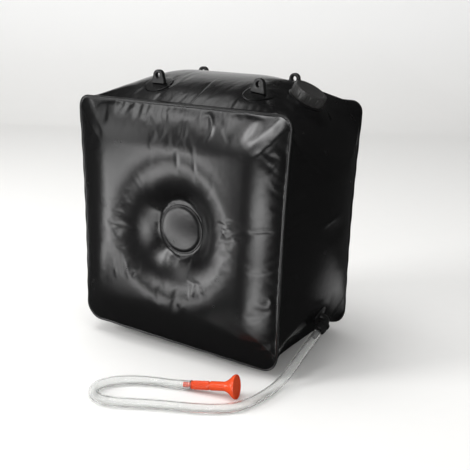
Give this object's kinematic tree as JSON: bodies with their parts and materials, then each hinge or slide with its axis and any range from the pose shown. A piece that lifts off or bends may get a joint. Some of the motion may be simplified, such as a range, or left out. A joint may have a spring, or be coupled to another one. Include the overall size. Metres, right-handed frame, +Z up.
{
  "type": "camp shower bag",
  "caption": "Inflated black water bag with dimpled faces, screw-capped filler, hanging eyes, outlet elbow and a clear hose ending in a red shower head.",
  "frame": {"origin": "on the surface the bag stands on, under the middle of the bag", "axes": "+Z up; -Y is the way the front face looks; +X is towards the side with the filler and the outlet"},
  "size_m": [0.4119, 0.446, 0.4209],
  "materials": {
    "bag_film": "satin gloss, creased film",
    "black_moulding": "satin",
    "cap_plastic": "matt",
    "black_rubber": "matt",
    "webbing": "woven",
    "red_plastic": "semi-gloss",
    "clear_hose": "clear"
  },
  "bodies": {
    "bag": {"front_panel": "bag_film", "back_panel": "bag_film", "gusset_band": "bag_film", "front_tie_disc": "bag_film", "back_tie_disc": "bag_film", "front_anchor_disc": "bag_film", "back_anchor_disc": "bag_film", "tie_strap": "webbing", "hang_patch_front_left": "bag_film", "hang_patch_front_right": "bag_film", "hang_patch_back_left": "bag_film", "hang_patch_back_right": "bag_film", "hang_lug_front_left": "black_moulding", "hang_lug_front_right": "black_moulding", "hang_lug_back_left": "black_moulding", "hang_lug_back_right": "black_moulding", "filler_neck": "black_moulding", "outlet_spout": "black_moulding", "outlet_washer": "black_rubber", "outlet_tail": "black_moulding", "hose": "clear_hose", "head_stem": "red_plastic", "head_grip": "red_plastic"},
    "seal": {"cap_seal": "black_rubber"},
    "cap": {"filler_cap": "cap_plastic"},
    "nut_ring": {"nut_slip_ring": "black_moulding"},
    "nut": {"outlet_nut": "black_moulding"},
    "rose_ring": {"rose_seal": "black_rubber"},
    "rose": {"head_rose": "red_plastic", "spray_plate": "red_plastic"}
  },
  "joints": [
    {"name": "cap_travel", "type": "slide", "parent": "bag", "child": "seal", "axis": [0.489, 0.021, 0.872], "range_m": [0, 0.0068]},
    {"name": "cap_turn", "type": "hinge", "parent": "seal", "child": "cap", "pos_m": [0.14289, 0, 0.38699], "axis": [0.489, 0.021, 0.872], "range_deg": [0, 540]},
    {"name": "nut_travel", "type": "slide", "parent": "bag", "child": "nut_ring", "axis": [-0.12, -0.8798, -0.4599], "range_m": [0, 0.00365]},
    {"name": "nut_turn", "type": "hinge", "parent": "nut_ring", "child": "nut", "pos_m": [0.20357, -0.0143, 0.06935], "axis": [-0.12, -0.8798, -0.4599], "range_deg": [0, 540]},
    {"name": "rose_travel", "type": "slide", "parent": "bag", "child": "rose_ring", "axis": [0.9631, 0.236, 0.129], "range_m": [0, 0.00245]},
    {"name": "rose_turn", "type": "hinge", "parent": "rose_ring", "child": "rose", "pos_m": [0.0919, -0.204, 0.0092], "axis": [0.9631, 0.236, 0.129], "range_deg": [0, 360]}
  ],
  "couplings": [
    {"joint": "cap_travel", "follows": "cap_turn", "m_per_rad": 0.0007162},
    {"joint": "nut_travel", "follows": "nut_turn", "m_per_rad": 0.00038197},
    {"joint": "rose_travel", "follows": "rose_turn", "m_per_rad": 0.00038197}
  ]
}
